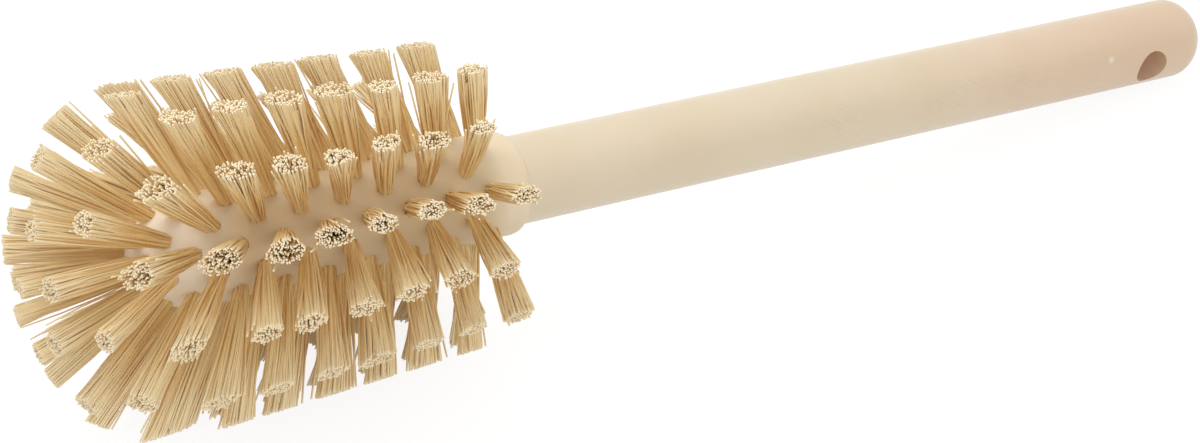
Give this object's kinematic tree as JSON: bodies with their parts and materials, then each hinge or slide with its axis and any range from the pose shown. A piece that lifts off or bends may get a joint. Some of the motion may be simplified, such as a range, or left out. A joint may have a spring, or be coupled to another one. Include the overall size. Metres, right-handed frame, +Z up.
{
  "type": "bottle brush",
  "caption": "Long-handled round brush with rings of splayed bristle tufts on a moulded head and a hanging hole through the handle's end.",
  "frame": {"origin": "centre of the bounding box in X and Y, at the height of the table that the brush lies on", "axes": "+X along the brush to the butt of the handle, -X to the nose of the head, +Z up from the table"},
  "size_m": [0.4718, 0.1126, 0.1189],
  "materials": {
    "handle_plastic": "satin",
    "block_plastic": "satin",
    "bristle": "satin filament"
  },
  "bodies": {
    "root": {"handle": "handle_plastic", "head_core": "block_plastic", "nose_cap": "bristle", "tuft_ring_01": "bristle", "tuft_ring_02": "bristle", "tuft_ring_03": "bristle", "tuft_ring_04": "bristle", "tuft_ring_05": "bristle", "tuft_ring_06": "bristle", "tuft_ring_07": "bristle", "tuft_ring_08": "bristle", "tuft_ring_09": "bristle", "tuft_ring_10": "bristle", "tuft_ring_11": "bristle", "tuft_ring_12": "bristle", "tuft_ring_13": "bristle", "tuft_ring_14": "bristle", "tuft_ring_15": "bristle"}
  },
  "joints": []
}
